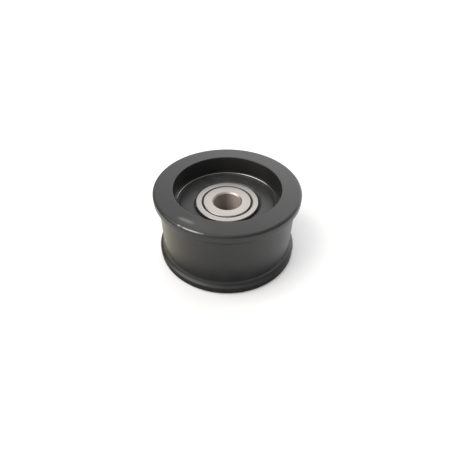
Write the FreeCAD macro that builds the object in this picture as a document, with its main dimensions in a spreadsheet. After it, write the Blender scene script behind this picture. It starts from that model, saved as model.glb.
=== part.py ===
"""A flanged idler pulley: a moulded body on a sealed ball bearing that is bushed down to its bolt.

Millimetres. Z is the axis of rotation. The origin is on it, half way between the two flange faces.
"""
import FreeCAD
import Part
import Sketcher
import math
import os

doc = FreeCAD.newDocument("idler_pulley")

# Driving sizes: name, number, what it measures
SIZES = [
    ("belt_diameter", "47.8", "running surface for the belt"),
    ("body_wall", "3.9", "wall of the body between the running surface and the bearing"),
    ("flange_rise", "1.6", "height of the flanges over the running surface"),
    ("pulley_width", "27.0", "from flange face to flange face"),
    ("rim_thickness", "2.9", "width of the flange at its rim"),
    ("groove_fillet", "2.1", "radius from the running surface up to the flange"),
    ("rim_round", "0.95", "radius on the outer edge of the flange face"),
    ("flank_round", "0.5", "radius on the inner edge of the rim"),
    ("mouth_round", "0.2", "radius on the edge of the recess"),
    ("recess_flare", "0.05", "how much the recess widens towards its mouth, on the radius"),
    ("upper_recess", "6.5", "depth from the upper flange face to the bearing"),
    ("grip_overlap", "1.4", "how far the body reaches in over the faces of the bearing"),
    ("bearing_bore", "17.0", "bore of the inner ring"),
    ("bearing_width", "12.0", "width of both rings"),
    ("ring_corner", "0.7", "corner radius on the outside of the outer ring"),
    ("bore_corner", "1.0", "corner radius in the bore of the inner ring"),
    ("edge_break", "0.15", "chamfer on the edges of the rings beside the seals"),
    ("inner_land", "2.6", "wall of the inner ring at its faces"),
    ("outer_land", "2.0", "wall of the outer ring at its faces"),
    ("ball_diameter", "6.747", "balls"),
    ("ball_count", "8", "balls in the bearing"),
    ("ball_play", "0.04", "gap between a ball and each raceway"),
    ("raceway_relief", "0.11", "raceway radius over the radius of the ball"),
    ("shoulder_height", "1.38", "depth of the raceways below their shoulders"),
    ("seal_inset", "0.35", "face of the seal below the ring faces"),
    ("seal_thickness", "1.1", "seals"),
    ("seal_bead", "0.35", "how far the edge of the seal snaps into the outer ring"),
    ("seal_rim", "0.6", "flat border of the seal inside the outer ring"),
    ("seal_channel", "0.9", "width of the channel inside that border"),
    ("channel_depth", "0.35", "depth of that channel"),
    ("seal_round", "0.12", "radius on the edges of the channel"),
    ("seal_lip", "1.0", "width of the bevelled lip beside the inner ring"),
    ("lip_drop", "0.7", "how far the lip slopes down to the inner ring"),
    ("seal_gap", "0.12", "gap between the seal and the inner ring"),
    ("cage_sheet", "0.5", "sheet thickness of the cage"),
    ("cage_band", "2.7", "radial width of the cage"),
    ("pocket_gap", "0.1", "gap between a ball and its pocket"),
    ("rivet_shank", "1.0", "diameter of the rivet shanks"),
    ("rivet_head", "1.7", "diameter of the rivet heads"),
    ("bushing_bore", "9.6", "bolt bore"),
    ("bushing_chamfer", "0.5", "chamfer on the edges of the bolt bore"),
    ("bushing_edge", "0.2", "chamfer on the outer edges of the bushing"),
]

sheet = doc.addObject("Spreadsheet::Sheet", "sizes")
for row, (alias, text, meaning) in enumerate(SIZES, start=1):
    sheet.set(f"A{row}", meaning)
    sheet.set(f"B{row}", text)
    sheet.setAlias(f"B{row}", alias)
doc.recompute()

# Heights and radii that several pieces share, as expressions over the sheet
BELT_R = "sizes.belt_diameter / 2"
FLANGE_R = f"({BELT_R} + sizes.flange_rise)"
HALF_WIDTH = "sizes.pulley_width / 2"
FLANK_Z = f"({HALF_WIDTH} - sizes.rim_thickness)"
FILLET_Z = f"({FLANK_Z} - sqrt(sizes.flange_rise * (2 * sizes.groove_fillet - sizes.flange_rise)))"

HALF_BEARING = "sizes.bearing_width / 2"
BEARING_R = f"({BELT_R} - sizes.body_wall)"
BORE_R = "sizes.bearing_bore / 2"
BEARING_Z = f"({HALF_WIDTH} - sizes.upper_recess - {HALF_BEARING})"
UPPER_FACE = f"({BEARING_Z} + {HALF_BEARING})"
LOWER_FACE = f"({BEARING_Z} - {HALF_BEARING})"
GRIP_R = f"({BEARING_R} - sizes.grip_overlap)"
MOUTH_R = f"({GRIP_R} + sizes.recess_flare)"

PITCH_R = f"({BORE_R} + {BEARING_R}) / 2"
BALL_R = "sizes.ball_diameter / 2"
RACEWAY_R = f"({BALL_R} + sizes.raceway_relief)"
RACEWAY_Z = f"sqrt({RACEWAY_R} ^ 2 - ({RACEWAY_R} - sizes.shoulder_height) ^ 2)"
INNER_SHOULDER_R = f"({PITCH_R} - {BALL_R} - sizes.ball_play + sizes.shoulder_height)"
OUTER_SHOULDER_R = f"({PITCH_R} + {BALL_R} + sizes.ball_play - sizes.shoulder_height)"

SEAL_TOP = f"({HALF_BEARING} - sizes.seal_inset)"
SEAL_FOOT = f"({SEAL_TOP} - sizes.seal_thickness)"
SEAL_SEAT_R = f"({BEARING_R} - sizes.outer_land)"
SEAL_BEAD_R = f"({SEAL_SEAT_R} + sizes.seal_bead)"
INNER_LAND_R = f"({BORE_R} + sizes.inner_land)"
INNER_STEP_Z = f"({SEAL_FOOT} - sizes.seal_gap)"
SEAL_LIP_R = f"({INNER_LAND_R} + sizes.seal_gap)"

BALL_STEP = "360 / sizes.ball_count"
RIVET_OFFSET = f"{BALL_STEP} / 2"
POCKET_R = f"({BALL_R} + sizes.pocket_gap)"
CAGE_INSIDE_R = f"({PITCH_R} - sizes.cage_band / 2)"
CAGE_OUTSIDE_R = f"({PITCH_R} + sizes.cage_band / 2)"

pieces = []


def number(expression):
    """The value of an expression over the sheet."""
    return float(sheet.evalExpression(expression))


def piece(kind, name, height=BEARING_Z):
    """A new sub-part that is exported under its name, raised along the axis."""
    item = doc.addObject(kind, name)
    item.Label = name
    item.setExpression("Placement.Base.z", height)
    pieces.append(item)
    return item


def arc_between(start, end, radius, centre_side):
    """The short arc between two points, with its centre nearer the axis than they are or further out.

    It also says whether the arc, which always turns anticlockwise, runs from start to end.
    """
    chord = end - start
    across = FreeCAD.Vector(-chord.y, chord.x, 0).normalize()
    if (across.x > 0) != (centre_side == "further out"):
        across = -across
    centre = (start + end) / 2 + across * math.sqrt(radius ** 2 - chord.Length ** 2 / 4)
    circle = Part.Circle(centre, FreeCAD.Vector(0, 0, 1), radius)
    first = math.atan2(start.y - centre.y, start.x - centre.x)
    last = math.atan2(end.y - centre.y, end.x - centre.x)
    forwards = (start - centre).cross(end - centre).z > 0
    angles = (first, last) if forwards else (last, first)
    return Part.ArcOfCircle(circle, *angles), forwards


def half_section(body, outline):
    """A closed sketch in the body's XZ plane through corners of (radius, height).

    A corner with two more entries is reached by an arc: its radius, and the side of its centre.
    """
    plane = next(item for item in body.Origin.OriginFeatures if item.Role == "XZ_Plane")
    sketch = body.newObject("Sketcher::SketchObject", f"{body.Name}_section")
    sketch.AttachmentSupport = [(plane, "")]
    sketch.MapMode = "FlatFace"
    vertex = {"start": 1, "end": 2}
    origin = (-1, vertex["start"])
    corners = [FreeCAD.Vector(number(radius), number(height), 0) for radius, height, *arc in outline]
    ends = []
    for index, (radius, height, *arc) in enumerate(outline):
        edge, forwards = Part.LineSegment(corners[index - 1], corners[index]), True
        if arc:
            edge, forwards = arc_between(corners[index - 1], corners[index], number(arc[0]), arc[1])
        sketch.addGeometry(edge)
        ends.append(("start", "end") if forwards else ("end", "start"))
    for index, (radius, height, *arc) in enumerate(outline):
        after = (index + 1) % len(outline)
        here = (index, vertex[ends[index][1]])
        there = (after, vertex[ends[after][0]])
        sketch.addConstraint(Sketcher.Constraint("Coincident", *here, *there))
        bound = [
            (f"radius_{index}", radius, ("DistanceX", *origin, *here, corners[index].x)),
            (f"height_{index}", height, ("DistanceY", *origin, *here, corners[index].y)),
        ]
        if arc:
            bound.append((f"arc_{index}", arc[0], ("Radius", index, number(arc[0]))))
        for name, expression, constraint in bound:
            place = sketch.addConstraint(Sketcher.Constraint(*constraint))
            sketch.renameConstraint(place, name)
            sketch.setExpression(f"Constraints.{name}", expression)
    return sketch


def turned(name, outline, height=BEARING_Z):
    """A body turned about the axis from its half section."""
    body = piece("PartDesign::Body", name, height)
    sketch = half_section(body, outline)
    solid = body.newObject("PartDesign::Revolution", f"{name}_turned")
    solid.Profile = sketch
    solid.ReferenceAxis = (sketch, ["V_Axis"])
    solid.Angle = 360
    return body


def dress_edges(body, kind, size, places, tolerance=1e-5):
    """Fillets or chamfers the round edges of a turned body at their (radius, height) places."""
    doc.recompute()
    base = body.Tip
    found = []
    for radius, height in places:
        for index, edge in enumerate(base.Shape.Edges, start=1):
            curve = edge.Curve
            if not isinstance(curve, Part.Circle):
                continue
            away = math.hypot(curve.Radius - number(radius), curve.Center.z - number(height))
            if away < tolerance:
                found.append(f"Edge{index}")
    if len(found) < len(places):
        raise RuntimeError(f"{body.Label}: found {len(found)} of {len(places)} edges for {size}")
    feature = body.newObject(f"PartDesign::{kind}", f"{body.Name}_{size}")
    feature.Base = (base, found)
    feature.setExpression("Radius" if kind == "Fillet" else "Size", f"sizes.{size}")


def both_ends(radius, height):
    """The two places that mirror each other above and below the middle."""
    return [(radius, height), (radius, f"-({height})")]


def primitive(kind, name, **expressions):
    """A Part primitive with each property bound to its expression."""
    item = doc.addObject(f"Part::{kind}", name)
    for key, expression in expressions.items():
        item.setExpression(key, expression)
    return item


def set_round(item, turn, offset="0"):
    """Moves an object out to the pitch circle, so many ball steps and an offset round from the X axis."""
    item.setExpression("Placement.Base.x", f"{PITCH_R} * cos({BALL_STEP} * {turn} + {offset})")
    item.setExpression("Placement.Base.y", f"{PITCH_R} * sin({BALL_STEP} * {turn} + {offset})")


def combined(kind, name, **links):
    """A Part boolean of other objects."""
    item = doc.addObject(f"Part::{kind}", name)
    for key, value in links.items():
        setattr(item, key, value)
    return item


# Pulley body: two flanges, the belt surface, a recess at each end and the grip round the bearing
pulley_body = turned("pulley_body", [
    (MOUTH_R, HALF_WIDTH),
    (FLANGE_R, HALF_WIDTH),
    (FLANGE_R, FLANK_Z),
    (BELT_R, FILLET_Z, "sizes.groove_fillet", "further out"),
    (BELT_R, f"-{FILLET_Z}"),
    (FLANGE_R, f"-{FLANK_Z}", "sizes.groove_fillet", "further out"),
    (FLANGE_R, f"-{HALF_WIDTH}"),
    (MOUTH_R, f"-{HALF_WIDTH}"),
    (GRIP_R, LOWER_FACE),
    (BEARING_R, LOWER_FACE),
    (BEARING_R, UPPER_FACE),
    (GRIP_R, UPPER_FACE),
], height="0")
dress_edges(pulley_body, "Fillet", "rim_round", both_ends(FLANGE_R, HALF_WIDTH))
dress_edges(pulley_body, "Fillet", "flank_round", both_ends(FLANGE_R, FLANK_Z))
dress_edges(pulley_body, "Fillet", "mouth_round", both_ends(MOUTH_R, HALF_WIDTH))
dress_edges(pulley_body, "Fillet", "ring_corner", [(BEARING_R, UPPER_FACE), (BEARING_R, LOWER_FACE)])

# Outer ring: the raceway, and at each side a step and a snap groove for the seal
outer_ring = turned("bearing_outer_ring", [
    (BEARING_R, f"-{HALF_BEARING}"),
    (BEARING_R, HALF_BEARING),
    (SEAL_SEAT_R, HALF_BEARING),
    (SEAL_SEAT_R, SEAL_TOP),
    (SEAL_BEAD_R, SEAL_TOP),
    (SEAL_BEAD_R, SEAL_FOOT),
    (OUTER_SHOULDER_R, SEAL_FOOT),
    (OUTER_SHOULDER_R, RACEWAY_Z),
    (OUTER_SHOULDER_R, f"-{RACEWAY_Z}", RACEWAY_R, "nearer the axis"),
    (OUTER_SHOULDER_R, f"-{SEAL_FOOT}"),
    (SEAL_BEAD_R, f"-{SEAL_FOOT}"),
    (SEAL_BEAD_R, f"-{SEAL_TOP}"),
    (SEAL_SEAT_R, f"-{SEAL_TOP}"),
    (SEAL_SEAT_R, f"-{HALF_BEARING}"),
])
dress_edges(outer_ring, "Fillet", "ring_corner", both_ends(BEARING_R, HALF_BEARING))
dress_edges(outer_ring, "Chamfer", "edge_break", both_ends(SEAL_SEAT_R, HALF_BEARING))

# Inner ring: the raceway between two shoulders, stepped down to the lands that the seal lips run round
inner_ring = turned("bearing_inner_ring", [
    (BORE_R, HALF_BEARING),
    (BORE_R, f"-{HALF_BEARING}"),
    (INNER_LAND_R, f"-{HALF_BEARING}"),
    (INNER_LAND_R, f"-{INNER_STEP_Z}"),
    (INNER_SHOULDER_R, f"-{INNER_STEP_Z}"),
    (INNER_SHOULDER_R, f"-{RACEWAY_Z}"),
    (INNER_SHOULDER_R, RACEWAY_Z, RACEWAY_R, "further out"),
    (INNER_SHOULDER_R, INNER_STEP_Z),
    (INNER_LAND_R, INNER_STEP_Z),
    (INNER_LAND_R, HALF_BEARING),
])
dress_edges(inner_ring, "Fillet", "bore_corner", both_ends(BORE_R, HALF_BEARING))
dress_edges(inner_ring, "Chamfer", "edge_break", both_ends(INNER_LAND_R, HALF_BEARING))

# Bushing: fills the inner ring from face to face and leaves the bolt bore
bushing = turned("bore_bushing", [
    ("sizes.bushing_bore / 2", HALF_BEARING),
    ("sizes.bushing_bore / 2", f"-{HALF_BEARING}"),
    (BORE_R, f"-{HALF_BEARING}"),
    (BORE_R, HALF_BEARING),
])
dress_edges(bushing, "Chamfer", "bushing_chamfer", both_ends("sizes.bushing_bore / 2", HALF_BEARING))
dress_edges(bushing, "Chamfer", "bushing_edge", both_ends(BORE_R, HALF_BEARING))

# Seals: a bead in the outer ring, a channel inside it, a flat face and a bevelled lip
CHANNEL_OUTSIDE_R = f"({SEAL_SEAT_R} - sizes.seal_rim)"
CHANNEL_INSIDE_R = f"({CHANNEL_OUTSIDE_R} - sizes.seal_channel)"
CHANNEL_FLOOR = f"({SEAL_TOP} - sizes.channel_depth)"
for seal_name, side in [("upper_seal", 1), ("lower_seal", -1)]:
    seal = turned(seal_name, [
        (SEAL_LIP_R, f"{side} * {SEAL_FOOT}"),
        (SEAL_BEAD_R, f"{side} * {SEAL_FOOT}"),
        (SEAL_BEAD_R, f"{side} * {SEAL_TOP}"),
        (CHANNEL_OUTSIDE_R, f"{side} * {SEAL_TOP}"),
        (CHANNEL_OUTSIDE_R, f"{side} * {CHANNEL_FLOOR}"),
        (CHANNEL_INSIDE_R, f"{side} * {CHANNEL_FLOOR}"),
        (CHANNEL_INSIDE_R, f"{side} * {SEAL_TOP}"),
        (f"({SEAL_LIP_R} + sizes.seal_lip)", f"{side} * {SEAL_TOP}"),
        (SEAL_LIP_R, f"{side} * ({SEAL_TOP} - sizes.lip_drop)"),
    ])
    dress_edges(seal, "Fillet", "seal_round", [
        (CHANNEL_OUTSIDE_R, f"{side} * {SEAL_TOP}"),
        (CHANNEL_OUTSIDE_R, f"{side} * {CHANNEL_FLOOR}"),
        (CHANNEL_INSIDE_R, f"{side} * {CHANNEL_FLOOR}"),
        (CHANNEL_INSIDE_R, f"{side} * {SEAL_TOP}"),
    ])

# Balls, evenly spaced on the pitch circle
ball_count = int(sheet.ball_count)
for turn in range(ball_count):
    ball = piece("Part::Sphere", f"ball_{turn + 1}")
    ball.setExpression("Radius", BALL_R)
    set_round(ball, turn)

# Cage: a flat ring with a dome round each ball, trimmed to a band, in two mirrored halves
DOME_R = f"({POCKET_R} + sizes.cage_sheet)"
SHANK_R = "sizes.rivet_shank / 2"
flat_ring = combined(
    "Cut", "cage_flat_ring",
    Base=primitive("Cylinder", "cage_flat_outside", Radius=CAGE_OUTSIDE_R, Height="sizes.cage_sheet"),
    Tool=primitive("Cylinder", "cage_flat_inside", Radius=CAGE_INSIDE_R, Height="sizes.cage_sheet"),
)
trim_band = combined(
    "Cut", "cage_trim_band",
    Base=primitive("Cylinder", "cage_trim_outside", Radius=CAGE_OUTSIDE_R, Height=DOME_R),
    Tool=primitive("Cylinder", "cage_trim_inside", Radius=CAGE_INSIDE_R, Height=DOME_R),
)
domes = []
hollows = []
for turn in range(ball_count):
    dome = primitive("Sphere", f"cage_dome_{turn + 1}", Radius=DOME_R)
    hollow = primitive("Sphere", f"cage_hollow_{turn + 1}", Radius=POCKET_R)
    rivet_hole = primitive("Cylinder", f"cage_hole_{turn + 1}", Radius=SHANK_R, Height="sizes.cage_sheet")
    set_round(dome, turn)
    set_round(hollow, turn)
    set_round(rivet_hole, turn, RIVET_OFFSET)
    domes.append(dome)
    hollows += [hollow, rivet_hole]
pressed = combined("MultiFuse", "cage_pressed", Shapes=[flat_ring] + domes)
trimmed = combined("Common", "cage_trimmed", Base=pressed, Tool=trim_band)
openings = combined("MultiFuse", "cage_openings", Shapes=hollows)

upper_half = piece("Part::Cut", "cage_upper_half")
upper_half.Base = trimmed
upper_half.Tool = openings
lower_half = piece("Part::Mirroring", "cage_lower_half", height="0")
lower_half.Source = upper_half
lower_half.Normal = FreeCAD.Vector(0, 0, 1)
lower_half.setExpression("Base.z", BEARING_Z)

# Cage rivets: a shank through both halves with a round head on each side, midway between the balls
HEAD_R = "sizes.rivet_head / 2"
rivets = []
for turn in range(ball_count):
    shank = primitive("Cylinder", f"rivet_shank_{turn + 1}", Radius=SHANK_R, Height="2 * sizes.cage_sheet")
    shank.setExpression("Placement.Base.z", "-sizes.cage_sheet")
    upper_head = primitive("Sphere", f"rivet_upper_head_{turn + 1}", Radius=HEAD_R, Angle1="0")
    upper_head.setExpression("Placement.Base.z", "sizes.cage_sheet")
    lower_head = primitive("Sphere", f"rivet_lower_head_{turn + 1}", Radius=HEAD_R, Angle2="0")
    lower_head.setExpression("Placement.Base.z", "-sizes.cage_sheet")
    for item in (shank, upper_head, lower_head):
        set_round(item, turn, RIVET_OFFSET)
    rivets.append(combined("MultiFuse", f"rivet_{turn + 1}", Shapes=[shank, upper_head, lower_head]))
cage_rivets = piece("Part::Compound", "cage_rivets")
cage_rivets.Links = rivets

doc.recompute()
for item in doc.Objects:
    if "Invalid" in item.State or "Error" in item.State:
        raise RuntimeError(f"{item.Label} did not recompute: {item.State}")
for item in pieces:
    if item.Shape.isNull() or not item.Shape.isValid():
        raise RuntimeError(f"{item.Label} has no valid shape")

os.makedirs("parts", exist_ok=True)
for item in pieces:
    item.Shape.exportStep(f"parts/{item.Label}.step")
    print(item.Label, len(item.Shape.Solids), "solids", round(item.Shape.Volume, 2), "mm3")
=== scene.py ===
# %% [markdown]
# # A flanged idler pulley
# The object is a black moulded pulley, 51 mm across and 27 mm wide, that guides a flat belt between two low
# flanges. A sealed ball bearing is moulded into its middle, and a plain steel bushing fills the bearing's
# bore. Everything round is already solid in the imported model, so this lesson keeps its steel and rubber
# parts, gives each a finish, and makes the moulded body again with the marks that use has left on it.

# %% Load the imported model
import math

import bpy
import numpy as np
from mathutils import Matrix, Vector


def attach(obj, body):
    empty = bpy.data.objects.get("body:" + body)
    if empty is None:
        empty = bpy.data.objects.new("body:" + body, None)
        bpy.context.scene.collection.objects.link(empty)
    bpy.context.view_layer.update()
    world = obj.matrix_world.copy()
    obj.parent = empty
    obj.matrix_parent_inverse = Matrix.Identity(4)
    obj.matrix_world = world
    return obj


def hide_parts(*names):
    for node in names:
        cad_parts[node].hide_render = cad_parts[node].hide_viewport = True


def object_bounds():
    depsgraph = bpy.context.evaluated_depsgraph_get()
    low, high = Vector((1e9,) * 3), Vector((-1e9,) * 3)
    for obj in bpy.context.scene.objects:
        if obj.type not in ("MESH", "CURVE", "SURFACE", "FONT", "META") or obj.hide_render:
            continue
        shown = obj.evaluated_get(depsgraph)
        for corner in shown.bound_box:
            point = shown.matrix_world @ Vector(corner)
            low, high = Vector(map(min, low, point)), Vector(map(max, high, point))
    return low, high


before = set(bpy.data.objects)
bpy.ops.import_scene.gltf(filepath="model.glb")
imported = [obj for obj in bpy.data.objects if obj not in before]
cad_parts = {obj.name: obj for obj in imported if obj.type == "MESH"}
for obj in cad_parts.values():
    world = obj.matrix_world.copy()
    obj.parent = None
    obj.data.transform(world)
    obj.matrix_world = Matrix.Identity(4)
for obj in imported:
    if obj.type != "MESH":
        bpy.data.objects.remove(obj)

MM = 0.001
solid_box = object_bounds()
print("nodes:", len(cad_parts), "box:", [round(v / MM, 2) for v in solid_box[1] - solid_box[0]], "mm")

# %% [markdown]
# ## The line that is turned
# A turned shape is one closed line, its half section, carried round the axis. The line here is straight runs
# and arcs in millimetres, (distance from the axis, height). Each run leaves out its last point, because the
# next run starts there, so no point comes twice.

# %% Straight runs and arcs
def straight_run(start, end, steps):
    """start + t * (end - start), with t in equal steps from 0 up to, but not at, 1."""
    t = np.arange(steps)[:, None] / steps
    return np.asarray(start) + t * (np.asarray(end) - np.asarray(start))


def round_arc(centre, radius, first, last, steps):
    """centre + radius * (cos a, sin a), with a in equal steps of degrees from first up to, not at, last."""
    a = np.radians(first + (last - first) * np.arange(steps) / steps)
    return np.asarray(centre) + radius * np.stack([np.cos(a), np.sin(a)], axis=1)


# %% [markdown]
# ## The moulded body's half section
# The body is black glass-filled nylon. Its belt face runs out through a hollow fillet to a flange at each
# end, whose rim is softly rounded, as a mould leaves it. Inside, a recess at each end stops at a lip that
# grips the bearing's outer ring. A half section mirrored end for end would do if the two recesses were
# equally deep. They aren't, so the outside is made once and mirrored, and the inside is given point by point.

# %% Sizes of the moulded body, in millimetres
FLANGE_RADIUS = 25.5
BELT_RADIUS = 23.9
HALF_WIDTH = 13.5
RIM_THICKNESS = 2.9
FILLET = 2.1
RIM_ROUND = 0.95
FLANK_ROUND = 0.5
MOUTH_ROUND = 0.2
MOUTH_RADIUS = 18.65
GRIP_RADIUS = 18.6
RING_RADIUS = 20.0
RING_CORNER = 0.7
UPPER_RING_FACE = 7.0
LOWER_RING_FACE = -5.0
# Rows of points on each stretch of the outside, from the top face to the belt face
FACE_ROWS, RIM_ROUND_ROWS, RIM_ROWS, FLANK_ROWS, FILLET_ROWS, BELT_ROWS = 5, 8, 3, 6, 14, 4
# Rows of the recess wall, as shares of its height from the ring's face
WALL_SHARES = (0.0, 0.03, 0.1, 0.25, 0.45, 0.65, 0.85)
MOUTH_ROWS = 5
# First point of the seat on the lower ring face, past the foot of the wall
SEAT_START = 0.05

# %% The outside, from the top face down to the middle of the belt face
def rim_to_belt(fineness):
    """Top face, quarter round, rim, small round, hollow fillet and half of the belt face, one after another.
    The fillet is a circle that touches the belt face and passes through the rim's lower corner, and the
    small round is a circle that touches the rim and, from outside, the fillet's circle. The face and its
    round take fineness times as many rows as they need without marks on them."""
    flank = HALF_WIDTH - RIM_THICKNESS
    hollow = np.array([BELT_RADIUS + FILLET, 0.0])
    hollow[1] = flank - math.sqrt(FILLET ** 2 - (hollow[0] - FLANGE_RADIUS) ** 2)
    small = np.array([FLANGE_RADIUS - FLANK_ROUND, 0.0])
    small[1] = hollow[1] + math.sqrt((FILLET + FLANK_ROUND) ** 2 - (hollow[0] - small[0]) ** 2)
    tangent = math.degrees(math.atan2(small[1] - hollow[1], small[0] - hollow[0]))
    rim_centre = (FLANGE_RADIUS - RIM_ROUND, HALF_WIDTH - RIM_ROUND)
    return np.concatenate([
        straight_run((MOUTH_RADIUS + MOUTH_ROUND, HALF_WIDTH), (rim_centre[0], HALF_WIDTH),
                     FACE_ROWS * fineness),
        round_arc(rim_centre, RIM_ROUND, 90, 0, RIM_ROUND_ROWS * fineness),
        straight_run((FLANGE_RADIUS, rim_centre[1]), (FLANGE_RADIUS, small[1]), RIM_ROWS),
        round_arc(small, FLANK_ROUND, 0, tangent - 180, FLANK_ROWS),
        round_arc(hollow, FILLET, tangent, 180, FILLET_ROWS),
        straight_run((BELT_RADIUS, hollow[1]), (BELT_RADIUS, 0), BELT_ROWS),
    ])


# %% The inside, from the bottom face up to the top face
def inner_wall(face):
    """The mouth's quarter round and the recess wall down to the ring's face, for the end that has that face.
    The wall leans in a little towards the ring, and the rows crowd towards the corner with the ring."""
    side = math.copysign(1.0, face)
    edge = MOUTH_RADIUS + MOUTH_ROUND
    mouth = round_arc((edge, HALF_WIDTH - MOUTH_ROUND), MOUTH_ROUND, 180, 90, MOUTH_ROWS)
    mouth = np.append(mouth, [[edge, HALF_WIDTH]], axis=0) * (1, side)
    deep = 1 - np.array(WALL_SHARES)
    wall = np.stack([MOUTH_RADIUS - deep * (MOUTH_RADIUS - GRIP_RADIUS),
                     mouth[0, 1] + deep * (face - mouth[0, 1])], axis=1)
    return np.concatenate([wall, mouth])


def body_section():
    """The closed line: the outside, its mirror, the lower recess, the seat round the ring and the upper
    recess."""
    outside = rim_to_belt(3)
    below = rim_to_belt(1)[::-1] * (1, -1)
    corner = RING_RADIUS - RING_CORNER
    seat = np.concatenate([
        straight_run((GRIP_RADIUS + SEAT_START, LOWER_RING_FACE), (corner, LOWER_RING_FACE), 2),
        round_arc((corner, LOWER_RING_FACE + RING_CORNER), RING_CORNER, -90, 0, 4),
        straight_run((RING_RADIUS, LOWER_RING_FACE + RING_CORNER),
                     (RING_RADIUS, UPPER_RING_FACE - RING_CORNER), 3),
        round_arc((corner, UPPER_RING_FACE - RING_CORNER), RING_CORNER, 0, 90, 4),
        straight_run((corner, UPPER_RING_FACE), (GRIP_RADIUS, UPPER_RING_FACE), 2),
    ])
    return np.concatenate([
        outside, [[BELT_RADIUS, 0.0]], below[:-1],
        inner_wall(LOWER_RING_FACE)[::-1], seat, inner_wall(UPPER_RING_FACE)[:-1],
    ])


section = body_section()
print("points in the half section:", len(section))

# %% [markdown]
# ## Wear on the rim
# The front of the upper rim has been knocked: a shallow gouge lies along the edge, with a short chip beside
# it, and the flange carries a light scuff. Painting these into a material would leave the edge whole, so the
# surface itself is pressed in. Each mark is a smooth hill over the angle and over the section, and its depth
# pushes points inwards only, which keeps the body inside its size.

# %% Angles that crowd where the wear is
ROUND_STEPS = 600
WORN_MIDDLE = math.radians(243.0)
WORN_WIDTH = math.radians(26.0)
WORN_CROWDING = 2.5
FINE_ANGLES = 20001


def crowded_angles(count):
    """Equal shares of a running total whose rate is 1 everywhere and 1 + crowding * hill near the worn
    stretch."""
    fine = np.linspace(0.0, 2 * math.pi, FINE_ANGLES)
    away = (fine - WORN_MIDDLE) / WORN_WIDTH
    total = np.cumsum(1 + WORN_CROWDING * np.exp(-away ** 4))
    shares = np.arange(count) / count * (total[-1] - total[0]) + total[0]
    return np.interp(shares, total, fine)


angles = crowded_angles(ROUND_STEPS)
print("finest step round the rim:", round(np.diff(angles).min() * FLANGE_RADIUS, 3), "mm")

# %% Marks: angle, half length, distance from the axis, height, reach, depth
RIM_MARKS = [
    (234.6, 0.6, 25.16, 13.28, 0.22, 0.12),
    (241.8, 1.7, 24.78, 13.47, 0.20, 0.09),
    (249.5, 2.0, 24.84, 13.45, 0.16, 0.03),
]
# Share of a mark's depth that goes inwards, and the same share down
PRESS_SLANT = 0.7


def press_marks(radius, height, angle):
    """For each mark, hill = exp(-(along / half length)^4 - (across / reach)^2), where along is measured round
    the rim and across in the section. The result is the sum of depth * hill."""
    pressed = np.zeros_like(radius)
    for middle, half_length, at_radius, at_height, reach, depth in RIM_MARKS:
        turn = np.remainder(angle - math.radians(middle) + math.pi, 2 * math.pi) - math.pi
        along = turn * at_radius / half_length
        across = np.hypot(radius - at_radius, height - at_height) / reach
        pressed += depth * np.exp(-along ** 4 - across ** 2)
    return pressed


# %% [markdown]
# ## From a grid of points to a mesh
# The section has one index and the angle another, so the points are a grid that closes both ways, like a
# ring. Its faces are worked out from the indices as whole arrays, and there are no poles to close.

# %% The grid of the moulded body
def turned_grid(line, turn_angles):
    """(r cos a, r sin a, z) for each point (r, z) of the line and each angle a. Where a mark is pressed in, r
    and z are less by the slant times its depth."""
    radius, angle = np.meshgrid(line[:, 0], turn_angles, indexing="ij")
    height = np.repeat(line[:, 1:], len(turn_angles), axis=1)
    pressed = press_marks(radius, height, angle)
    radius = radius - PRESS_SLANT * pressed
    height = height - PRESS_SLANT * pressed
    return np.stack([radius * np.cos(angle), radius * np.sin(angle), height], axis=2) * MM


def ring_mesh(name, points):
    """Each face joins a point, its neighbour round the axis and their next points along the line."""
    rows, columns = points.shape[:2]
    index = np.arange(rows * columns).reshape(rows, columns)
    beside = np.roll(index, -1, axis=1)
    faces = np.stack([index, np.roll(index, -1, axis=0), np.roll(beside, -1, axis=0), beside], axis=2)
    mesh = bpy.data.meshes.new(name)
    mesh.from_pydata(points.reshape(-1, 3), [], faces.reshape(-1, 4).tolist())
    mesh.shade_smooth()
    made = bpy.data.objects.new(name, mesh)
    bpy.context.scene.collection.objects.link(made)
    return made


body_points = turned_grid(section, angles)
moulded_body = ring_mesh("moulded_body", body_points)
print("body triangles:", 2 * len(moulded_body.data.polygons))

# %% [markdown]
# The finish needs to know where the plastic is pale. A thin line follows the worn edge of the rim, in
# stretches of different strength; it is worn plastic and a painted highlight along the rounded edge. On the
# flange lie a scuff and, beside it, a faint patch that has been rubbed. One number for each point is kept on
# the mesh as an attribute.

# %% Wear and a painted highlight as an attribute of the mesh
# X and Y of the middle, direction in degrees, half length, half width and strength of each scuff
SCUFFS = [(-12.5, -18.3, -28.95, 2.6, 0.55, 0.22), (-8.6, -20.3, -22.0, 5.0, 2.4, 0.030)]
# Points within this height of the top face count as on it
TOP_BAND = 0.1
# Distance from the axis and height of the pale line of wear and painted highlight, and its reach across
PALE_EDGE = (25.05, 13.36)
PALE_REACH = 0.19
# Middle and half length of each stretch in degrees, and its strength
PALE_STRETCHES = [(234.9, 1.3, 0.95), (240.3, 2.6, 0.80), (246.4, 4.0, 1.0), (252.0, 2.2, 0.30)]


def scuffed(points):
    """The sum of strength * exp(-(along / half length)^4 - (across / half width)^2) on the top face, where
    along follows each scuff."""
    total = np.zeros(points.shape[:2])
    for middle_x, middle_y, direction, half_length, half_width, strength in SCUFFS:
        x, y = points[..., 0] / MM - middle_x, points[..., 1] / MM - middle_y
        turn = math.radians(direction)
        along = (x * math.cos(turn) + y * math.sin(turn)) / half_length
        across = (y * math.cos(turn) - x * math.sin(turn)) / half_width
        total += strength * np.exp(-along ** 4 - across ** 2)
    return total * (points[..., 2] > (HALF_WIDTH - TOP_BAND) * MM)


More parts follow.
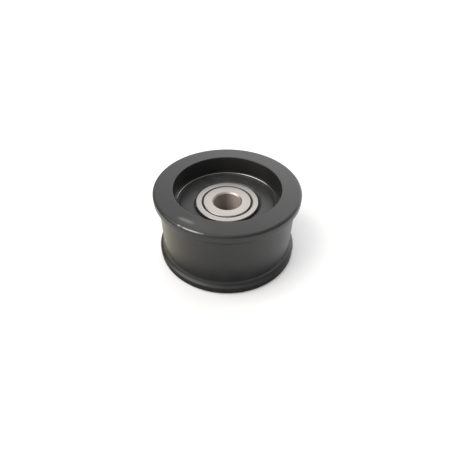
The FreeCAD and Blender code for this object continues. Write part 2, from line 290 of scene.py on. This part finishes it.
def pale_edge(points):
    """The sum of strength * exp(-(turn / half length)^4) over the stretches, in degrees round the axis, times
    exp(-(across / reach)^2), where across is the distance in the section from the middle of the line."""
    radius = np.hypot(points[..., 0], points[..., 1]) / MM
    degrees = np.degrees(np.arctan2(points[..., 1], points[..., 0])) % 360
    across = np.hypot(radius - PALE_EDGE[0], points[..., 2] / MM - PALE_EDGE[1]) / PALE_REACH
    along = sum(strength * np.exp(-((degrees - middle) / half_length) ** 4)
                for middle, half_length, strength in PALE_STRETCHES)
    return along * np.exp(-across ** 2)


# Wear, and a painted highlight along the rim's edge, in one number for each point.
wear_and_highlight = pale_edge(body_points) + scuffed(body_points)
wear_layer = moulded_body.data.attributes.new("wear_and_highlight", "FLOAT", "POINT")
wear_layer.data.foreach_set("value", np.clip(wear_and_highlight, 0, 1).ravel().astype(np.float32))
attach(moulded_body, "pulley")
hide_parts("pulley_body")
print("worn points:", int((wear_and_highlight > 0.2).sum()))

# %% [markdown]
# ## Finishes
# Every finish is a small tree of nodes that reads the piece's own place in metres, so a pattern stays where
# it is when the pulley turns. Two readings are shared: the place itself, and the pair (distance from the
# axis, height), which draws every pattern as rings, the way a lathe or a mould tool leaves them.

# %% Helpers that add and join nodes
def new_finish(name):
    """An empty tree with the shader and its output."""
    finish = bpy.data.materials.new(name)
    finish.use_nodes = True
    finish.node_tree.nodes.clear()
    output = finish.node_tree.nodes.new("ShaderNodeOutputMaterial")
    shader = finish.node_tree.nodes.new("ShaderNodeBsdfPrincipled")
    finish.node_tree.links.new(shader.outputs["BSDF"], output.inputs["Surface"])
    return finish, finish.node_tree, shader


def add(tree, kind, values=(), links=(), **settings):
    """One node, with its settings, the values of its sockets and the sockets that feed it."""
    made = tree.nodes.new(kind)
    for name, value in settings.items():
        setattr(made, name, value)
    for socket, value in dict(values).items():
        made.inputs[socket].default_value = value
    for socket, source in dict(links).items():
        tree.links.new(source, made.inputs[socket])
    return made


def place_reading(tree):
    """The point's own place in metres."""
    return add(tree, "ShaderNodeTexCoord").outputs["Object"]


def ring_reading(tree, place):
    """(distance from the axis, height, 0): the same all the way round."""
    parts = add(tree, "ShaderNodeSeparateXYZ", links={"Vector": place})
    flat = add(tree, "ShaderNodeCombineXYZ", links={"X": parts.outputs["X"], "Y": parts.outputs["Y"]})
    radius = add(tree, "ShaderNodeVectorMath", links={0: flat.outputs["Vector"]}, operation="LENGTH")
    pair = add(tree, "ShaderNodeCombineXYZ",
               links={"X": radius.outputs["Value"], "Y": parts.outputs["Z"]})
    return pair.outputs["Vector"]


def speckle(tree, reading, size_mm, detail=2.0):
    """Noise whose patches are about size_mm across."""
    made = add(tree, "ShaderNodeTexNoise", {"Scale": 1 / (size_mm * MM), "Detail": detail},
               {"Vector": reading})
    return made.outputs["Fac"]


def between(tree, reading, low, high, first=0.3, last=0.7):
    """A number that goes from low to high as the reading goes from first to last."""
    made = add(tree, "ShaderNodeMapRange",
               {"From Min": first, "From Max": last, "To Min": low, "To Max": high}, {"Value": reading})
    return made.outputs["Result"]


def banded(tree, reading, stops):
    """A colour that goes through the stops, each a reading from 0 to 1 and its colour."""
    made = add(tree, "ShaderNodeValToRGB", links={"Fac": reading})
    ramp = made.color_ramp.elements
    for stop, (at, colour) in ((ramp[1], stops[-1]), (ramp[0], stops[0])):
        stop.position = at
        stop.color = (*colour, 1)
    for at, colour in stops[1:-1]:
        ramp.new(at).color = (*colour, 1)
    return made.outputs["Color"]


def tinted(tree, reading, dark, light, first=0.3, last=0.7):
    """A colour that goes from dark to light as the reading goes from first to last."""
    return banded(tree, reading, [(first, dark), (last, light)])


def mixed(tree, share, first, second):
    """first where the share is 0 and second where it is 1."""
    made = add(tree, "ShaderNodeMix", data_type="RGBA")
    tree.links.new(share, made.inputs[0])
    tree.links.new(first, made.inputs[6])
    tree.links.new(second, made.inputs[7])
    return made.outputs[2]


def summed(tree, first, second, share=1.0):
    """first + share * second."""
    made = add(tree, "ShaderNodeMath", {1: share}, {0: second, 2: first}, operation="MULTIPLY_ADD")
    return made.outputs["Value"]


def bumped(tree, shader, height, depth_mm, strength=1.0):
    """Heights from 0 to 1 become a relief depth_mm deep."""
    made = add(tree, "ShaderNodeBump", {"Distance": depth_mm * MM, "Strength": strength}, {"Height": height})
    tree.links.new(made.outputs["Normal"], shader.inputs["Normal"])


def feed(tree, shader, **sources):
    """Joins each source to the shader's socket of that name."""
    for socket, source in sources.items():
        tree.links.new(source, shader.inputs[socket.replace("_", " ")])


print("finish helpers ready")

# %% [markdown]
# ### Moulded nylon
# Black nylon has a satin skin: a fine grain from the mould, faint rings where the tool was turned, and
# patches that are a little duller. Where it is knocked it goes grey and dull, which the wear attribute gives;
# along the rim's edge the same pale colour is also a painted highlight. A single dark colour would look like
# lacquer, so colour, dullness and relief all vary a little.

# %% Finish of the moulded body
def moulded_nylon():
    """Colour between two blacks by patches 6 mm across, bruised by the wear and by the painted highlight on
    the rim's edge. Dullness by patches and grain, and more where it is worn. The relief is the grain and the
    tool's rings."""
    finish, tree, shader = new_finish("moulded_nylon")
    place = place_reading(tree)
    rings = ring_reading(tree, place)
    patches = speckle(tree, place, 6.0, 4.0)
    grain = speckle(tree, place, 0.22, 3.0)
    tool_rings = speckle(tree, rings, 0.35, 2.0)
    worn_and_highlit = add(tree, "ShaderNodeAttribute", attribute_name="wear_and_highlight").outputs["Fac"]
    skin = tinted(tree, patches, (0.0145, 0.0145, 0.0147), (0.0205, 0.0204, 0.0200))
    # Pale grey of the wear, also used as the painted highlight along the rim's edge.
    bruise_and_highlight = tinted(tree, grain, (0.34, 0.325, 0.305), (0.60, 0.585, 0.56))
    feed(tree, shader, Base_Color=mixed(tree, worn_and_highlit, skin, bruise_and_highlight),
         Roughness=summed(tree, between(tree, summed(tree, patches, grain, 0.35), 0.285, 0.355, 0.4, 0.9),
                          worn_and_highlit, 0.15))
    bumped(tree, shader, summed(tree, grain, tool_rings, 0.6), 0.012, 0.35)
    shader.inputs["IOR"].default_value = 1.43
    return finish


moulded_body.data.materials.append(moulded_nylon())
print("finish:", moulded_body.data.materials[0].name)

# %% [markdown]
# ### Steel
# The bearing's inner ring is ground, which leaves fine rings close together. Its outer ring is honed finer
# and looks darker, and the bushing is turned, which leaves coarser rings. One function serves all three, with
# the size of the marks and the dullness as its values. The marks come from the ring reading, so on a flat
# face they are circles and in the bore they are hoops.

# %% Painted shade and film on the steel
def near_radius(tree, rings, middle_mm, reach_mm):
    """1 near that distance from the axis, and 0 from reach_mm away."""
    radius = add(tree, "ShaderNodeSeparateXYZ", links={"Vector": rings}).outputs["X"]
    away = add(tree, "ShaderNodeMath", {1: middle_mm * MM}, {0: radius}, operation="SUBTRACT")
    size = add(tree, "ShaderNodeMath", links={0: away.outputs["Value"]}, operation="ABSOLUTE")
    return between(tree, size.outputs["Value"], 1.0, 0.0, 0.95 * reach_mm * MM, reach_mm * MM)


def film_and_shade_colours(tree, place, cloud, stops):
    """The colours of the stops, which lie at places along X in millimetres, shifted a little by the cloud."""
    first, last = stops[0][0], stops[-1][0]
    along = add(tree, "ShaderNodeSeparateXYZ", links={"Vector": place}).outputs["X"]
    share = between(tree, along, -0.05, 0.95, first * MM, last * MM)
    return banded(tree, summed(tree, share, cloud, 0.1),
                  [((at - first) / (last - first), colour) for at, colour in stops])


print("stain helpers ready")

# %% [markdown]
# The groove between the inner ring and the bushing is painted nearly black, which is painted shade. The bolt
# bore carries a brown film, painted darker in a run left of its middle as painted shade and lighter on its
# right as painted light. Each band lies within a reach of some distance from the axis and hides most of the
# metal's shine.

# %% Finish of the steel parts
FILM_AND_SHADE_METAL = 0.25
FILM_AND_SHADE_DULLS = 0.19
# Painted shade: the groove between the inner ring and the bushing, nearly black.
GROOVE_PAINTED_SHADE = (8.6, 0.6, [(-10.0, (0.048, 0.043, 0.039)), (10.0, (0.056, 0.050, 0.045))])
# Brown film on the bolt bore, painted darker left of its middle as painted shade and lighter on its right as
# painted light.
BORE_FILM_AND_PAINTED_LIGHT = (4.0, 0.86, [
    (-4.0, (0.370, 0.315, 0.290)),
    (-0.7, (0.235, 0.200, 0.183)),
    (0.3, (0.360, 0.305, 0.280)),
    (2.6, (0.545, 0.465, 0.430)),
])


def marked_steel(name, dark, light, mark_mm, depth_mm, dull, film_and_shade=None):
    """Rings of marks of that width and depth, between two colours and two dullnesses. The band of film and
    painted shade is given by its distance from the axis, its reach and its colours along X."""
    finish, tree, shader = new_finish(name)
    place = place_reading(tree)
    rings = ring_reading(tree, place)
    marks = speckle(tree, rings, mark_mm, 3.0)
    cloud = speckle(tree, place, 3.5, 3.0)
    colour = tinted(tree, summed(tree, marks, cloud, 0.5), dark, light, 0.45, 1.05)
    shine = between(tree, summed(tree, cloud, marks, 0.6), dull[0], dull[1], 0.5, 1.1)
    shader.inputs["Metallic"].default_value = 1.0
    # Over the band, the colours of film and painted shade replace the steel's, and it turns duller and less
    # metallic.
    if film_and_shade:
        film_and_shade_band = near_radius(tree, rings, film_and_shade[0], film_and_shade[1])
        colour = mixed(tree, film_and_shade_band, colour, film_and_shade_colours(tree, place, cloud, film_and_shade[2]))
        shine = summed(tree, shine, film_and_shade_band, FILM_AND_SHADE_DULLS)
        feed(tree, shader, Metallic=between(tree, film_and_shade_band, 1.0, FILM_AND_SHADE_METAL, 0.0, 1.0))
    feed(tree, shader, Base_Color=colour, Roughness=shine)
    bumped(tree, shader, marks, depth_mm, 0.6)
    return finish


ground_steel = marked_steel("ground_steel", (0.335, 0.317, 0.303), (0.400, 0.378, 0.360),
                            0.10, 0.0006, (0.34, 0.44), GROOVE_PAINTED_SHADE)
turned_steel = marked_steel("turned_steel", (0.365, 0.338, 0.315), (0.445, 0.417, 0.386),
                            0.16, 0.0010, (0.36, 0.46), BORE_FILM_AND_PAINTED_LIGHT)
honed_steel = marked_steel("honed_steel", (0.235, 0.225, 0.215), (0.285, 0.270, 0.260),
                           0.10, 0.0004, (0.18, 0.26))
print("finishes:", ground_steel.name, turned_steel.name, honed_steel.name)

# %% [markdown]
# The balls are lapped to a mirror, and the cage that spaces them is pressed from thin sheet, with the grain
# of the roll and a thin film of grease. The seals hide both, but they show when the bearing is opened.

# %% Finish of the balls and of the cage
def lapped_steel():
    """A bright mirror with a faint haze in patches under a millimetre across."""
    finish, tree, shader = new_finish("lapped_steel")
    place = place_reading(tree)
    haze = speckle(tree, place, 0.8, 4.0)
    feed(tree, shader, Base_Color=tinted(tree, haze, (0.66, 0.66, 0.66), (0.74, 0.74, 0.73)),
         Roughness=between(tree, haze, 0.05, 0.12))
    bumped(tree, shader, speckle(tree, place, 0.15), 0.0004, 0.4)
    shader.inputs["Metallic"].default_value = 1.0
    return finish


def pressed_sheet():
    """Noise drawn out twelve times along Y for the lines of the roll, under patches of film 2 mm across."""
    finish, tree, shader = new_finish("pressed_sheet")
    place = place_reading(tree)
    stretched = add(tree, "ShaderNodeMapping", {"Scale": (1.0, 0.08, 1.0)}, {"Vector": place})
    roll_lines = speckle(tree, stretched.outputs["Vector"], 0.12, 3.0)
    film = speckle(tree, place, 2.0, 3.0)
    feed(tree, shader, Base_Color=tinted(tree, film, (0.38, 0.36, 0.32), (0.52, 0.51, 0.49)),
         Roughness=between(tree, summed(tree, film, roll_lines, 0.5), 0.30, 0.46, 0.4, 1.0))
    bumped(tree, shader, roll_lines, 0.004, 0.5)
    shader.inputs["Metallic"].default_value = 1.0
    return finish


ball_finish, cage_finish = lapped_steel(), pressed_sheet()
print("finishes:", ball_finish.name, cage_finish.name)

# %% [markdown]
# ### Seal rubber
# The seals are black rubber moulded on a steel disc. Rubber is duller than nylon, shows the rings of its
# mould, and picks up a grey bloom of dust in patches.

# %% Finish of the seals
def moulded_rubber():
    """Colour by the bloom, dullness by bloom and grain, and a relief of grain and mould rings."""
    finish, tree, shader = new_finish("moulded_rubber")
    place = place_reading(tree)
    rings = ring_reading(tree, place)
    bloom = speckle(tree, place, 4.0, 5.0)
    grain = speckle(tree, place, 0.12, 2.0)
    mould_rings = speckle(tree, rings, 0.3, 2.0)
    feed(tree, shader, Base_Color=tinted(tree, bloom, (0.026, 0.026, 0.0262), (0.041, 0.0407, 0.0400)),
         Roughness=between(tree, summed(tree, bloom, grain, 0.4), 0.28, 0.36, 0.4, 1.0))
    bumped(tree, shader, summed(tree, grain, mould_rings, 0.8), 0.01, 0.20)
    shader.inputs["IOR"].default_value = 1.38
    return finish


seal_finish = moulded_rubber()
print("finish:", seal_finish.name)

# %% [markdown]
# ### Dressing the solids
# The steel and rubber solids already have the right shape, so each keeps its mesh and only the finish in its
# slots changes.

# %% Give each solid its finish
FINISH_OF = {
    "pulley_body": moulded_body.data.materials[0],
    "bearing_outer_ring": honed_steel,
    "bearing_inner_ring": ground_steel,
    "bore_bushing": turned_steel,
    "upper_seal": seal_finish,
    "lower_seal": seal_finish,
    "cage_upper_half": cage_finish,
    "cage_lower_half": cage_finish,
    "cage_rivets": cage_finish,
}
for node_name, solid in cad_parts.items():
    finish = FINISH_OF.get(node_name, ball_finish)
    for material_slot in solid.material_slots:
        material_slot.material = finish
print("solids dressed:", len(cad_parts))

# %% [markdown]
# ## The studio
# The pulley stands on a white table under a pale, even sky. The sky has soft glows where a studio hangs its
# panels: behind the object, low behind it on the right, in front of it on the left, and overhead. A soft lamp
# high on the left throws the shadow to the right. A sky worked out from the direction alone keeps the set
# plain, and a table of several metres puts its edge at the horizon.

# %% The table
TABLE_HALF = 6.0
corners = np.array([(-1, -1), (1, -1), (1, 1), (-1, 1)]) * TABLE_HALF
table_mesh = bpy.data.meshes.new("table_top")
table_mesh.from_pydata(np.column_stack([corners, np.full(4, solid_box[0].z)]), [], [(0, 1, 2, 3)])
table_top = bpy.data.objects.new("table_top", table_mesh)
bpy.context.scene.collection.objects.link(table_top)
table_finish, table_tree, table_shader = new_finish("table_white")
feed(table_tree, table_shader,
     Base_Color=tinted(table_tree, speckle(table_tree, place_reading(table_tree), 40.0),
                       (0.93, 0.93, 0.93), (0.95, 0.95, 0.95)))
table_shader.inputs["Roughness"].default_value = 0.9
table_shader.inputs["Specular IOR Level"].default_value = 0.0
table_top.data.materials.append(table_finish)
print("table at", round(solid_box[0].z / MM, 2), "mm")

# %% [markdown]
# Glossy black shows whatever lies in front of it. As a studio lays a dark card at the front of such an
# object, a card of painted shade lies round the foot here, standing for the table's shadow there, so that the
# foot reads dark against a white table. It is seen by the gloss alone: it is hidden from the camera and
# throws no shadow. It is a ring round the foot, dark near a point in front of the axis and white further
# away, so the dark part is a crescent that fades into the table. On the far left it is brown, a painted warm
# reflection on that side of the belt face.

# %% The card of painted shade in front of the foot, in millimetres
CARD_INSIDE, CARD_OUTSIDE = 25.0, 40.0
CARD_MIDDLE_Y = -8.0
CARD_DARK, CARD_WHITE = 23.0, 27.5
CARD_PLAIN_X, CARD_BROWN_X = -19.0, -26.0
CARD_LIFT = 0.05


def flat_ring(name, inside, outside, height, steps=96):
    """(r cos a, r sin a, height) for the two distances r and equal steps of the angle a."""
    a = np.linspace(0.0, 2 * math.pi, steps, endpoint=False)
    r = np.array([[inside], [outside]])
    points = np.stack([r * np.cos(a), r * np.sin(a), np.full((2, steps), height)], axis=2)
    near = np.arange(steps)
    beside = np.roll(near, -1)
    mesh = bpy.data.meshes.new(name)
    mesh.from_pydata(points.reshape(-1, 3), [],
                     np.stack([near, near + steps, beside + steps, beside], axis=1).tolist())
    made = bpy.data.objects.new(name, mesh)
    bpy.context.scene.collection.objects.link(made)
    return made


def painted_shade_crescent():
    """Painted shade up to CARD_DARK from the card's middle, white from CARD_WHITE, and both brown on the left
    as a painted warm reflection.
    """
    finish, tree, shader = new_finish("painted_shade_crescent")
    place = place_reading(tree)
    side = add(tree, "ShaderNodeSeparateXYZ", links={"Vector": place}).outputs["X"]
    # On the left the card turns brown: a painted warm reflection.
    brown = between(tree, side, 0.0, 1.0, CARD_PLAIN_X * MM, CARD_BROWN_X * MM)
    dark = tinted(tree, brown, (0.17, 0.17, 0.17), (0.17, 0.16, 0.135), 0.0, 1.0)
    white = tinted(tree, brown, (0.94, 0.94, 0.94), (0.94, 0.89, 0.72), 0.0, 1.0)
    moved = add(tree, "ShaderNodeMapping", {"Location": (0.0, -CARD_MIDDLE_Y * MM, 0.0)}, {"Vector": place})
    flat = add(tree, "ShaderNodeVectorMath", {1: (1.0, 1.0, 0.0)}, {0: moved.outputs["Vector"]},
               operation="MULTIPLY")
    away = add(tree, "ShaderNodeVectorMath", links={0: flat.outputs["Vector"]}, operation="LENGTH")
    share = between(tree, away.outputs["Value"], 0.0, 1.0, CARD_DARK * MM, CARD_WHITE * MM)
    feed(tree, shader, Base_Color=mixed(tree, share, dark, white))
    shader.inputs["Roughness"].default_value = 0.9
    shader.inputs["Specular IOR Level"].default_value = 0.0
    return finish


# The card is painted shade, seen only in the gloss.
painted_shade_card = flat_ring("painted_shade_card", CARD_INSIDE * MM, CARD_OUTSIDE * MM, solid_box[0].z + CARD_LIFT * MM)
painted_shade_card.visible_camera = False
painted_shade_card.visible_shadow = False
painted_shade_card.visible_diffuse = False
painted_shade_card.data.materials.append(painted_shade_crescent())
print("card from", CARD_INSIDE, "to", CARD_OUTSIDE, "mm")

# %% The sky: azimuth, elevation, brightness and tightness of each glow
SKY_BRIGHT = 0.36
SKY_GLOWS = [
    (45.0, 8.0, 1.80, 9.5),
    (65.0, 20.0, 1.05, 9.5),
    (90.0, 33.0, 1.20, 9.5),
    (225.0, 33.0, 1.25, 9.5),
    (0.0, 90.0, 1.50, 9.5),
]


def towards(azimuth, elevation):
    """The unit vector with that azimuth, measured from X round Z, and that elevation, in degrees."""
    a, e = math.radians(azimuth), math.radians(elevation)
    return Vector((math.cos(a) * math.cos(e), math.sin(a) * math.cos(e), math.sin(e)))


def sky_glow(tree, direction, azimuth, elevation, bright, tight):
    """bright * exp(tight * (cosine of the angle from the glow's middle - 1))."""
    near = add(tree, "ShaderNodeVectorMath", {1: towards(azimuth, elevation)}, {0: direction},
               operation="DOT_PRODUCT")
    power = add(tree, "ShaderNodeMath", {1: tight, 2: -tight}, {0: near.outputs["Value"]},
                operation="MULTIPLY_ADD")
    fall = add(tree, "ShaderNodeMath", links={0: power.outputs["Value"]}, operation="EXPONENT")
    return add(tree, "ShaderNodeMath", {1: bright}, {0: fall.outputs["Value"]}, operation="MULTIPLY")


def soft_sky():
    """An even brightness, plus the glows."""
    world = bpy.data.worlds.new("soft_sky")
    world.use_nodes = True
    tree = world.node_tree
    tree.nodes.clear()
    direction = add(tree, "ShaderNodeTexCoord").outputs["Generated"]
    glows = [sky_glow(tree, direction, *glow).outputs["Value"] for glow in SKY_GLOWS]
    together = glows[0]
    for glow in glows[1:]:
        together = summed(tree, together, glow)
    strength = add(tree, "ShaderNodeMath", {1: SKY_BRIGHT}, {0: together}, operation="ADD")
    background = add(tree, "ShaderNodeBackground", {"Color": (1.0, 1.0, 1.0, 1.0)},
                     {"Strength": strength.outputs["Value"]})
    output = add(tree, "ShaderNodeOutputWorld")
    tree.links.new(background.outputs["Background"], output.inputs["Surface"])
    return world


bpy.context.scene.world = soft_sky()
print("sky:", bpy.context.scene.world.name)

# %% The lamp
LAMP_DIRECTION = towards(190.0, 52.0)
LAMP_DISTANCE = 0.6
LAMP_ACROSS = 0.50
LAMP_POWER = 2.1
lamp_data = bpy.data.lights.new("soft_lamp", "AREA")
lamp_data.shape = "DISK"
lamp_data.size = LAMP_ACROSS
lamp_data.energy = LAMP_POWER
lamp_data.color = (1.0, 0.955, 0.90)
soft_lamp = bpy.data.objects.new("soft_lamp", lamp_data)
soft_lamp.location = LAMP_DIRECTION * LAMP_DISTANCE
soft_lamp.rotation_mode = "QUATERNION"
soft_lamp.rotation_quaternion = LAMP_DIRECTION.to_track_quat("Z", "Y")
soft_lamp.visible_camera = False
bpy.context.scene.collection.objects.link(soft_lamp)
bpy.context.scene.view_settings.view_transform = "Standard"
print("lamp:", LAMP_POWER, "W")

# %% [markdown]
# ## The camera
# The picture is taken close, from about 40 degrees above the table. The camera's place and tilt were found by
# fitting the circles of the rims, the recess and the rings to the ellipses that the picture shows.

# %% Place the camera
ELEVATION = math.radians(40.30)
TILT = math.radians(42.274)
YAW = math.radians(0.087)
ROLL = math.radians(0.53)
DISTANCE = 0.1263
LENS = 27.02
SENSOR = 36.0
NEAREST = 0.005
back = Vector((0, -math.cos(TILT), math.sin(TILT)))
right = Vector((1, 0, 0))
up = Vector((0, math.sin(TILT), math.cos(TILT)))
right, back = right * math.cos(YAW) + back * math.sin(YAW), back * math.cos(YAW) - right * math.sin(YAW)
right, up = right * math.cos(ROLL) + up * math.sin(ROLL), up * math.cos(ROLL) - right * math.sin(ROLL)
camera_data = bpy.data.cameras.new("camera")
camera_data.sensor_width = SENSOR
camera_data.lens = LENS
camera_data.clip_start = NEAREST
camera = bpy.data.objects.new("camera", camera_data)
eye = Vector((0, -math.cos(ELEVATION), math.sin(ELEVATION))) * DISTANCE
camera.matrix_world = Matrix.Translation(eye) @ Matrix((right, up, back)).transposed().to_4x4()
bpy.context.scene.collection.objects.link(camera)
bpy.context.scene.camera = camera
print("camera at", [round(v / MM, 1) for v in eye], "mm")

# %% [markdown]
# ## The last step
# The view layer is updated, so that every object stands where the script has put it. The dressed model
# has to stay in the box of the solids.

# %% Update the view layer
bpy.context.view_layer.update()
